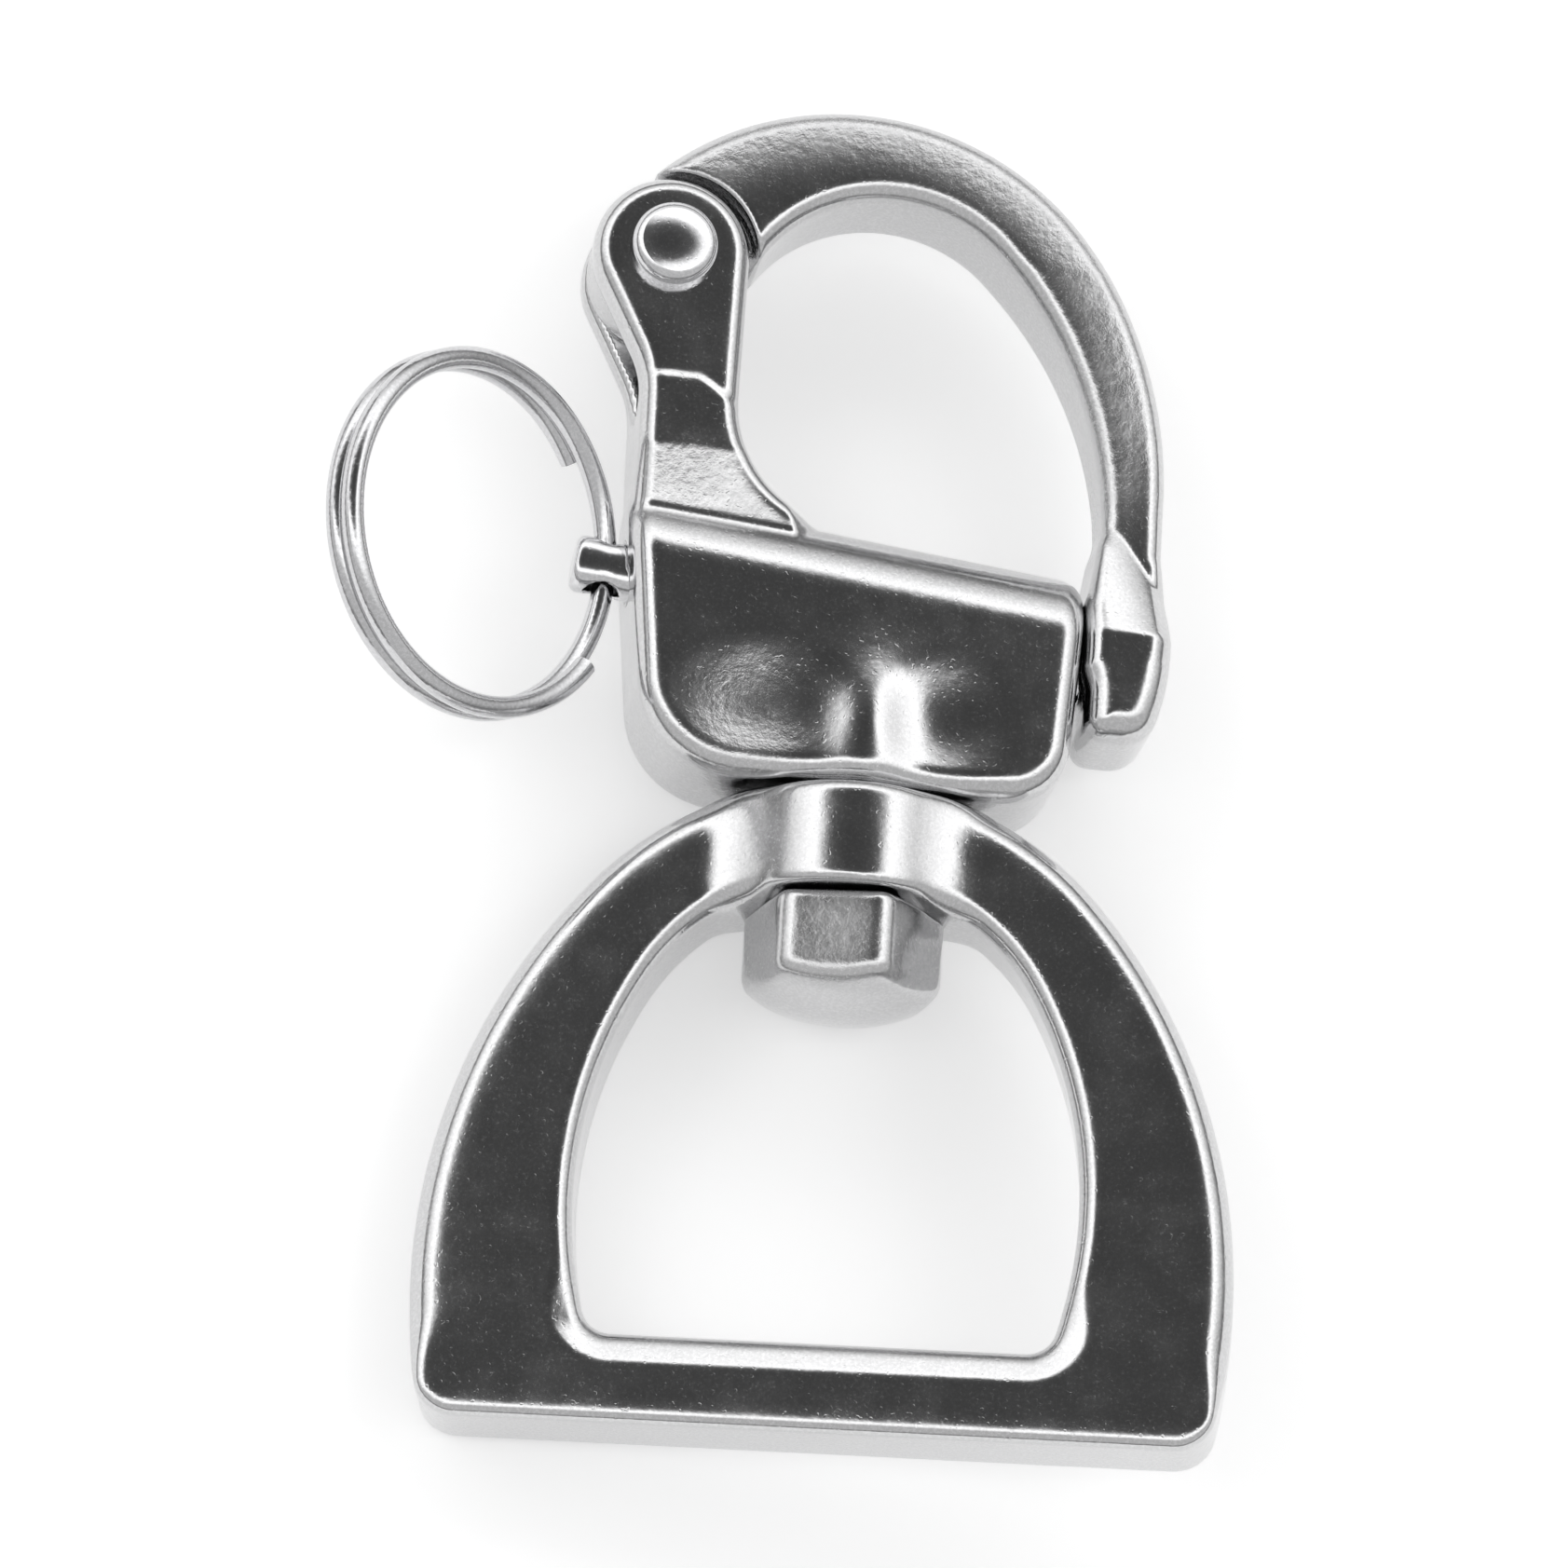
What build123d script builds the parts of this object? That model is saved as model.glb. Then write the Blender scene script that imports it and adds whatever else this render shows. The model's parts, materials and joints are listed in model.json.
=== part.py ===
from build123d import *
import os
from math import acos, asin, cos, degrees, radians, sin, sqrt, tan

# A swivel snap shackle in cast stainless steel, laid on its back.
# +Z comes up out of the front face, +Y runs along the load line from the bail to the gate,
# and +X points to the gate's free end. The origin is the middle of the crossbar's flat inner
# face, on the swivel axis, halfway through the thickness. Lengths are in millimetres.

# ---- driving dimensions ----------------------------------------------------------------

# Bail: a D-shaped loop for webbing, with a swivel hub at the top of its arch.
BAIL_HALF_WIDTH = 27.05
BAIL_THICKNESS = 7.4
CROSSBAR_HEIGHT = 6.2
BAIL_SIDE_RADIUS = 41.0
BAIL_WIDEST = 4.0  # height at which the outer sides stand furthest apart
BAIL_SIDE_TURN = 42.0  # degrees that each outer side leans in before the crown begins
ARCH_HALF_WIDTH = 16.65
ARCH_WIDEST = 9.5
ARCH_SIDE_RADIUS = 30.0
ARCH_SIDE_TURN = 30.0  # degrees that each inner side leans in before the arch closes
BAIL_TURN = -10.0  # degrees that the bail is swivelled from the body's plane at rest
BAIL_OUTER_CORNER = 2.6
BAIL_INNER_CORNER = 1.8
BAIL_OUTER_ROUNDING = 2.0
BAIL_INNER_ROUNDING = 1.3

HUB_RADIUS = 7.4
HUB_BOTTOM = 30.3
HUB_TOP = 37.4
HUB_TOP_ROUNDING = 1.7
HUB_BOTTOM_ROUNDING = 0.5

# Swivel bolt: it hangs the bail from the body and is screwed up into the body.
BOLT_SHANK_RADIUS = 3.5
BOLT_THREAD_RADIUS = 3.0
BOLT_THREAD_LENGTH = 6.5
THREAD_CHAMFER = 0.5
THREAD_SPARE = 0.4  # how much deeper the threaded hole is
BOLT_HEAD_FLATS = 12.0
BOLT_HEAD_HEIGHT = 5.3
BOLT_HEAD_DOME = 2.2
BOLT_HEAD_GAP = 0.15  # between the head and the hub that turns on it
BOLT_CORNER_ROUNDING = 0.7
BOLT_BEVEL = 0.8
BOLT_HEAD_TURN = -14.0  # degrees between the front flat and the body's face

# Body casting: a shield-shaped block under a barrel, with a forked arm.
BODY_BOTTOM = 37.7
BODY_HALF_THICKNESS = 5.4
BODY_LEFT = -16.2
BODY_RIGHT = 14.4
BODY_LEFT_LEAN = 6.0  # degrees that the left side leans out as it rises
BODY_RIGHT_LEAN = 3.5
BODY_LEFT_CORNER = 6.8
BODY_RIGHT_CORNER = 4.4
BODY_ROUNDING = 1.7
BOSS_RADIUS = 6.2
BOSS_BEVEL = 0.8
BOSS_STRAIGHT_HEIGHT = 6.5  # height above the block's bottom at which the boss begins to taper
BOSS_TIP_HEIGHT = 11.5
BOSS_TIP_RADIUS = 5.2

DENT_BALL = 20.0  # radius of the ball-shaped hollows beside the boss
DENT_DEPTH = 0.6
DENT_Y = 42.5
DENT_X = (-6.6, 5.4)

PLUNGER_SLANT = 6.0  # degrees that the barrel falls towards the gate's free end
PLUNGER_AXIS_Y = 50.7  # height at which the barrel's axis crosses the swivel axis

# Fork: two ears that carry the gate.
PIVOT_X = -14.95
PIVOT_Y = 74.1
EAR_RADIUS = 5.3
EAR_FACE = 5.0
SLOT_HALF_WIDTH = 2.3
SLOT_DEPTH = 10.9
NECK_LEFT = -16.35
NECK_RIGHT = -9.75
NECK_Y = 65.5
NECK_PROUD = 0.15
ARM_SWEEP_RADIUS = 7.4
ARM_SWEEP_START = 63.8
FLARE_TOP = 60.5
FOOT_HALF_THICKNESS = 4.2  # half thickness where the arm comes out of the barrel's crest
ARM_ROUNDING = 0.5
ARM_LEFT_BEND = 7.0

# Gate: a hook hinged in the fork, whose nose is held by the plunger.
CROWN_X = -2.1
CROWN_Y = 65.95
CROWN_RADIUS = 20.0
CROWN_START = 135.0  # degrees round from +X to the hinge end of the hook's back
CROWN_TURN = 51.3
GATE_OUTER_RIGHT = 19.75
INNER_CROWN_X = 0.1
INNER_CROWN_Y = 69.4
INNER_CROWN_RADIUS = 10.3
INNER_CROWN_START = 150.0
INNER_CROWN_TURN = 45.0
GATE_INNER_RIGHT = 15.65
GATE_HALF_THICKNESS = 4.2
FULL_THICKNESS_Y = 76.0
LIMB_HALF_THICKNESS = 3.05
LIMB_THINNEST_Y = 59.8
NOSE_HALF_THICKNESS = 4.9
NOSE_FLARE_Y = 50.2
NOSE_GAP = 0.45
NOSE_OUTER = 20.6
NOSE_BOTTOM = 42.9
NOSE_TOE_INSET = 1.6
NOSE_TOE_Y = 47.9
NOSE_HEEL_Y = 51.5
NOSE_SHOULDER_Y = 53.0
NOSE_TOP = 55.5
NOSE_CORNER_RADIUS = 3.0
EAR_RECESS_RADIUS = 5.9
TONGUE_HALF_THICKNESS = 2.1
TONGUE_INSET = 0.2  # how far the tongue's round stays inside the ears'
SOCKET_CLEARANCE = 0.15
SOCKET_SPARE = 0.3  # how much deeper the socket is than the plunger's tip
GATE_ROUNDING = 0.7
BEND_RADIUS = 6.0  # of the soft bends across the gate's faces
FACE_DEPTH = 2.5  # every rim of the two flat castings is further than this from the middle plane
ON_THE_MIDDLE = 0.01  # anything nearer to the middle plane than this lies on it

RIVET_RADIUS = 2.0
RIVET_HEAD_RADIUS = 2.9
RIVET_WALL_HEIGHT = 1.3
RIVET_CAP_HEIGHT = 0.55
RIVET_ROUNDING = 0.9

# Plunger: a sprung bolt in the barrel, pulled back by a split ring.
PLUNGER_RADIUS = 2.95
TIP_RADIUS = 2.2
TIP_CHAMFER = 0.7
TIP_ENGAGEMENT = 2.6
SHOULDER_INSET = 0.8  # how far inside the barrel's mouth the thick part of the plunger ends
TAIL_RADIUS = 1.95
TAIL_FLAT = 1.7  # half thickness across the two flats that the ring passes through
TAIL_OVERHANG = 3.6
FLAT_RUN = 0.8  # how far the flats run on into the barrel's end wall
RING_HOLE_RADIUS = 1.25
RING_HOLE_INSET = 1.4
BARREL_END_WALL = 3.0
SPRING_ROOM = 10.0
SPRING_WIRE = 0.6
SPRING_TURNS = 6.0

RING_OUTER_RADIUS = 12.5
RING_WIRE = 1.5
RING_GAP = 0.03  # between one turn and the next
RING_TURNS = 1.79
RING_START = 37.0  # degrees round from the hole to the first end
RING_LIFT = 37.0  # degrees that the ring leans up out of the shackle's plane
RING_DROOP = 9.0  # degrees that the loose ring hangs down in its own plane

RUNNING_CLEARANCE = 0.05
PRESSED_CLEARANCE = 0.01

# ---- places worked out from them -------------------------------------------------------

slant = radians(PLUNGER_SLANT)
plunger_line = Vector(cos(slant), -sin(slant), 0)
plunger_across = Vector(sin(slant), cos(slant), 0)


def barrel_point(x):
    """The point of the barrel's axis at this x."""
    return Vector(x, PLUNGER_AXIS_Y - x * tan(slant), 0)


def across_barrel(x, way=1):
    """A plane square to the barrel at this x, facing along it to the gate, or back if way is -1."""
    return Plane(origin=barrel_point(x), x_dir=plunger_across, z_dir=plunger_line * way)


def across_swivel(y):
    """A plane square to the swivel axis at this height, facing the gate."""
    return Plane(origin=(0, y, 0), x_dir=(1, 0, 0), z_dir=(0, 1, 0))


def along_barrel(x, distance):
    """The x reached by going this far along the barrel from x."""
    return x + distance * cos(slant)


bore_start = along_barrel(BODY_LEFT, BARREL_END_WALL)
shoulder_x = along_barrel(bore_start, SPRING_ROOM)
tip_start = BODY_RIGHT - SHOULDER_INSET
nose_face = BODY_RIGHT + NOSE_GAP
tip_end = nose_face + TIP_ENGAGEMENT
tail_end = BODY_LEFT - TAIL_OVERHANG
ring_hole = barrel_point(along_barrel(BODY_LEFT, -RING_HOLE_INSET))
pivot = Vector(PIVOT_X, PIVOT_Y, 0)


def cap_radius(base, height):
    """The radius of the ball whose cap has this base radius and height."""
    return (base**2 + height**2) / (2 * height)


def coil(foot, pitch, length, radius):
    """The line of a coil that climbs along this plane's normal, starting on its x direction."""
    return foot.from_local_coords(Helix(pitch, length, radius))


os.makedirs("parts", exist_ok=True)


def save(piece, name):
    """Labels a finished piece and writes it as its own STEP file."""
    piece.part.label = name
    export_step(piece.part, f"parts/{name}.step")


# ---- bail ------------------------------------------------------------------------------

bail_plane = Plane.XY.rotated((0, BAIL_TURN, 0))
bail_front = Axis((0, 0, 0), bail_plane.z_dir)


def side_arc(height, widest, half_width, radius, turn):
    """One side of the D: from this height it leans out to its widest, then back in by turn degrees."""
    lean = asin((widest - height) / radius)
    foot_x = half_width - radius * (1 - cos(lean))
    return JernArc((foot_x, height), (sin(lean), cos(lean)), radius, degrees(lean) + turn)


def close_over(side_line, turn):
    """The half of the D's crown that carries this side on, without a kink, to the swivel axis."""
    crown_radius = (side_line @ 1).X / cos(radians(turn))
    JernArc(side_line @ 1, side_line % 1, crown_radius, 90 - turn)


with BuildPart() as bail:
    with BuildSketch(bail_plane):
        with BuildLine():
            side = side_arc(-CROSSBAR_HEIGHT, BAIL_WIDEST, BAIL_HALF_WIDTH, BAIL_SIDE_RADIUS, BAIL_SIDE_TURN)
            close_over(side, BAIL_SIDE_TURN)
            Line((0, -CROSSBAR_HEIGHT), side @ 0)
            mirror(about=Plane.YZ)
        outline = make_face()
        fillet(outline.vertices().group_by(Axis.Y)[0], BAIL_OUTER_CORNER)
    extrude(amount=BAIL_THICKNESS / 2, both=True)
    flats = bail.faces().sort_by(bail_front)
    fillet(flats[0].edges() + flats[-1].edges(), BAIL_OUTER_ROUNDING)
    with BuildSketch(bail_plane):
        with BuildLine():
            inner_wall = side_arc(0, ARCH_WIDEST, ARCH_HALF_WIDTH, ARCH_SIDE_RADIUS, ARCH_SIDE_TURN)
            close_over(inner_wall, ARCH_SIDE_TURN)
            Line((0, 0), inner_wall @ 0)
            mirror(about=Plane.YZ)
        hollow = make_face()
        fillet(hollow.vertices().group_by(Axis.Y)[0], BAIL_INNER_CORNER)
    extrude(amount=BAIL_THICKNESS, both=True, mode=Mode.SUBTRACT)
    flats = bail.faces().sort_by(bail_front)
    fillet(flats[0].inner_wires().edges() + flats[-1].inner_wires().edges(), BAIL_INNER_ROUNDING)
    with BuildSketch(Plane.XY) as hub_outline:
        with Locations((0, HUB_BOTTOM)):
            Rectangle(HUB_RADIUS, HUB_TOP - HUB_BOTTOM, align=(Align.MIN, Align.MIN))
        fillet(hub_outline.vertices().group_by(Axis.X)[-1].sort_by(Axis.Y)[-1], HUB_TOP_ROUNDING)
        fillet(hub_outline.vertices().group_by(Axis.X)[-1].sort_by(Axis.Y)[0], HUB_BOTTOM_ROUNDING)
    revolve(axis=Axis.Y)
    split(bisect_by=across_swivel(HUB_TOP), keep=Keep.BOTTOM)
    with BuildSketch(across_swivel(HUB_BOTTOM)):
        Circle(BOLT_SHANK_RADIUS + RUNNING_CLEARANCE)
    extrude(amount=2 * (HUB_TOP - HUB_BOTTOM), mode=Mode.SUBTRACT)
save(bail, "bail")

# ---- swivel bolt -----------------------------------------------------------------------

head_top = HUB_BOTTOM - BOLT_HEAD_GAP
head_end = head_top - BOLT_HEAD_HEIGHT
dome_tip = head_end - BOLT_HEAD_DOME
corner = BOLT_HEAD_FLATS / sqrt(3)
with BuildPart() as swivel_bolt:
    with BuildSketch(across_swivel(dome_tip)):
        RegularPolygon(BOLT_HEAD_FLATS / 2, 6, major_radius=False, rotation=BOLT_HEAD_TURN)
    extrude(amount=head_top - dome_tip)
    fillet(swivel_bolt.edges().filter_by(Axis.Y), BOLT_CORNER_ROUNDING)
    with BuildSketch(Plane.XY):
        with BuildLine():
            flank = Polyline(
                (0, dome_tip),
                (0, head_top),
                (corner - BOLT_BEVEL, head_top),
                (corner, head_top - BOLT_BEVEL),
                (corner, head_end),
            )
            RadiusArc(flank @ 1, flank @ 0, cap_radius(corner, BOLT_HEAD_DOME))
        make_face()
    revolve(axis=Axis.Y, mode=Mode.INTERSECT)
    with BuildSketch(across_swivel(head_top)):
        Circle(BOLT_SHANK_RADIUS)
    extrude(amount=BODY_BOTTOM - head_top)
    with BuildSketch(across_swivel(BODY_BOTTOM)):
        Circle(BOLT_THREAD_RADIUS)
    extrude(amount=BOLT_THREAD_LENGTH)
    chamfer(swivel_bolt.edges().group_by(Axis.Y)[-1], THREAD_CHAMFER)
save(swivel_bolt, "swivel_bolt")

# ---- arm: the forked upper half of the body casting -------------------------------------


def runs_level(edge):
    """Whether an edge runs straight along X, like the bends across a face."""
    start = edge @ 0
    end = edge @ 1
    return abs(end.Y - start.Y) + abs(end.Z - start.Z) < 0.001


def face_rims(piece, above):
    """The edges round a flat casting's front and back faces that reach above this height."""
    rims = piece.edges().filter_by(lambda e: abs(e.center().Z) > FACE_DEPTH and not runs_level(e))
    return rims.filter_by(lambda e: max((e @ 0).Y, (e @ 1).Y) > above)


def touch_ear(point, way):
    """Where a line from this point touches the ear's round; way is 1 on its left, -1 on its right."""
    reach = Vector(*point) - pivot
    turn = degrees(acos(EAR_RADIUS / reach.length))
    return pivot + reach.normalized().rotate(Axis.Z, -way * turn) * EAR_RADIUS


neck_half = EAR_FACE + NECK_PROUD
neck_left = (NECK_LEFT, NECK_Y)
neck_right = (NECK_RIGHT, NECK_Y)
arm_foot = barrel_point(BODY_LEFT)
arm_top = PIVOT_Y + 2 * EAR_RADIUS

with BuildPart() as arm:
    with BuildSketch():
        with BuildLine():
            outer = Polyline(arm_foot, neck_left, touch_ear(neck_left, 1))
            over = Line(outer @ 1, touch_ear(neck_right, -1))
            inner = Polyline(over @ 1, neck_right, (NECK_RIGHT, ARM_SWEEP_START))
            sweep_in = JernArc(inner @ 1, (0, -1), ARM_SWEEP_RADIUS, 90 - PLUNGER_SLANT)
            Polyline(sweep_in @ 1, barrel_point((sweep_in @ 1).X), arm_foot)
        limb = make_face()
        fillet(limb.vertices().filter_by_position(Axis.Y, NECK_Y, NECK_Y).sort_by(Axis.X)[0], ARM_LEFT_BEND)
        with Locations(pivot):
            Circle(EAR_RADIUS)
    extrude(amount=neck_half, both=True)
    # It is a little thinner where it comes out of the barrel.
    with BuildSketch(Plane.YZ):
        with BuildLine():
            flare = Polyline(
                (PLUNGER_AXIS_Y, FOOT_HALF_THICKNESS),
                (PLUNGER_AXIS_Y + BODY_HALF_THICKNESS, FOOT_HALF_THICKNESS),
                (FLARE_TOP, neck_half),
                (arm_top, neck_half),
                (arm_top, 0),
            )
            mirror(about=Plane.XZ)
            Line(flare @ 0, (PLUNGER_AXIS_Y, -FOOT_HALF_THICKNESS))
        make_face()
    extrude(amount=arm_top, both=True, mode=Mode.INTERSECT)
    # Its foot runs out to nothing along the barrel's crest.
    with BuildSketch(Plane.XZ):
        with Locations((NECK_RIGHT, 0)):
            Ellipse((sweep_in @ 1).X - NECK_RIGHT, BODY_HALF_THICKNESS)
        with Locations((NECK_RIGHT - arm_top / 2, 0)):
            Rectangle(arm_top, 2 * BODY_HALF_THICKNESS)
    extrude(amount=arm_top, both=True, mode=Mode.INTERSECT)
    fillet(face_rims(arm, barrel_point(BODY_LEFT).Y + BODY_HALF_THICKNESS), ARM_ROUNDING)

# ---- body ------------------------------------------------------------------------------

block_top = PLUNGER_AXIS_Y + 3 * BODY_HALF_THICKNESS


def left_side(y):
    """The point of the block's left side at this height."""
    rise = y - barrel_point(BODY_LEFT).Y
    return (BODY_LEFT - rise * tan(radians(BODY_LEFT_LEAN)), y)


def right_side(y):
    """The point of the block's right side at this height."""
    rise = y - barrel_point(BODY_RIGHT).Y
    return (BODY_RIGHT + rise * tan(radians(BODY_RIGHT_LEAN)), y)


with BuildPart() as body:
    # The block is a shield with a full-round top, which is the barrel.
    with BuildSketch() as block_outline:
        with BuildLine():
            Polyline(
                left_side(block_top),
                left_side(BODY_BOTTOM),
                right_side(BODY_BOTTOM),
                right_side(block_top),
                close=True,
            )
        make_face()
        fillet(block_outline.vertices().group_by(Axis.Y)[0].sort_by(Axis.X)[0], BODY_LEFT_CORNER)
        fillet(block_outline.vertices().group_by(Axis.Y)[0].sort_by(Axis.X)[-1], BODY_RIGHT_CORNER)
    extrude(amount=BODY_HALF_THICKNESS, both=True)
    with BuildSketch(across_barrel(0)):
        Circle(BODY_HALF_THICKNESS)
        with Locations((-BODY_HALF_THICKNESS * 2, 0)):
            Rectangle(BODY_HALF_THICKNESS * 4, BODY_HALF_THICKNESS * 2)
    extrude(amount=2 * BODY_RIGHT, both=True, mode=Mode.INTERSECT)
    fillet(body.edges().filter_by(lambda e: abs(e.center().Z) > ON_THE_MIDDLE), BODY_ROUNDING)
    add(arm.part)
    # A boss for the swivel bolt swells out of both faces.
    with BuildSketch(Plane.XY):
        with BuildLine():
            Polyline(
                (0, BODY_BOTTOM),
                (BOSS_RADIUS - BOSS_BEVEL, BODY_BOTTOM),
                (BOSS_RADIUS, BODY_BOTTOM + BOSS_BEVEL),
                (BOSS_RADIUS, BODY_BOTTOM + BOSS_STRAIGHT_HEIGHT),
                (BOSS_TIP_RADIUS, BODY_BOTTOM + BOSS_TIP_HEIGHT),
                (0, BODY_BOTTOM + BOSS_TIP_HEIGHT),
                close=True,
            )
        make_face()
    revolve(axis=Axis.Y)
    # Shallow hollows lighten the faces on both sides of the boss.
    dent_z = BODY_HALF_THICKNESS + DENT_BALL - DENT_DEPTH
    with Locations(*[(x, DENT_Y, z) for x in DENT_X for z in (-dent_z, dent_z)]):
        Sphere(DENT_BALL, mode=Mode.SUBTRACT)
    # The plunger's bore opens to the gate; a wall at the far end guides its tail.
    with BuildSketch(across_barrel(bore_start)):
        Circle(PLUNGER_RADIUS + RUNNING_CLEARANCE)
    extrude(amount=2 * BODY_RIGHT, mode=Mode.SUBTRACT)
    with BuildSketch(across_barrel(bore_start, -1)):
        Circle(TAIL_RADIUS + RUNNING_CLEARANCE)
    extrude(amount=2 * BARREL_END_WALL, mode=Mode.SUBTRACT)
    with BuildSketch(across_swivel(BODY_BOTTOM)):
        Circle(BOLT_THREAD_RADIUS + PRESSED_CLEARANCE)
    extrude(amount=BOLT_THREAD_LENGTH + THREAD_SPARE, mode=Mode.SUBTRACT)
    # The slot between the ears has a round bottom; the rivet crosses it.
    with BuildSketch(Plane.YZ.offset(PIVOT_X)):
        with Locations((PIVOT_Y - SLOT_DEPTH + SLOT_HALF_WIDTH, 0)):
            Circle(SLOT_HALF_WIDTH)
            Rectangle(2 * SLOT_DEPTH, 2 * SLOT_HALF_WIDTH, align=(Align.MIN, Align.CENTER))
    extrude(amount=2 * EAR_RADIUS, both=True, mode=Mode.SUBTRACT)
    with BuildSketch(Plane.XY.offset(-BODY_HALF_THICKNESS)):
        with Locations(pivot):
            Circle(RIVET_RADIUS + PRESSED_CLEARANCE)
    extrude(amount=2 * BODY_HALF_THICKNESS, mode=Mode.SUBTRACT)
    # The ears are faced off flat down to the neck.
    for way in (-1, 1):
        with BuildSketch(Plane.XY.offset(way * EAR_FACE)):
            with Locations((PIVOT_X, (NECK_Y + arm_top) / 2)):
                Rectangle(4 * EAR_RADIUS, arm_top - NECK_Y)
        extrude(amount=way * NECK_PROUD * 2, mode=Mode.SUBTRACT)
save(body, "body")

# ---- gate rivet ------------------------------------------------------------------------

rivet_rim = EAR_FACE + RIVET_WALL_HEIGHT
rivet_tip = rivet_rim + RIVET_CAP_HEIGHT
with BuildPart() as gate_rivet:
    with BuildSketch(Plane(origin=pivot, x_dir=(1, 0, 0), z_dir=(0, -1, 0))):
        with BuildLine():
            wall = Polyline(
                (RIVET_RADIUS, 0),
                (RIVET_RADIUS, EAR_FACE),
                (RIVET_HEAD_RADIUS, EAR_FACE),
                (RIVET_HEAD_RADIUS, rivet_rim),
            )
            RadiusArc(wall @ 1, (0, rivet_tip), -cap_radius(RIVET_HEAD_RADIUS, RIVET_CAP_HEIGHT))
            mirror(about=Plane.XZ)
            Line((0, rivet_tip), (0, -rivet_tip))
        make_face()
    revolve(axis=Axis(pivot, (0, 0, 1)))
    fillet(gate_rivet.edges().filter_by_position(Axis.Z, rivet_rim, rivet_rim), RIVET_ROUNDING)
    fillet(gate_rivet.edges().filter_by_position(Axis.Z, -rivet_rim, -rivet_rim), RIVET_ROUNDING)
save(gate_rivet, "gate_rivet")

# ---- gate ------------------------------------------------------------------------------

gate_top = CROWN_Y + 2 * CROWN_RADIUS
gate_foot = NOSE_BOTTOM - NOSE_HALF_THICKNESS


def crown(middle, radius, start, turn):
    """An arc of the hook's crown, from start degrees over the top and turn degrees down the far side."""
    return CenterArc(middle, radius, start, -(start - 90 + turn))


def straighten(arc, turned, x):
    """The arc that carries this crown's edge on until it runs straight down at this x."""
    radius = (x - (arc @ 1).X) / (1 - sin(radians(turned)))
    return JernArc(arc @ 1, arc % 1, radius, -(90 - turned))


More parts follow.
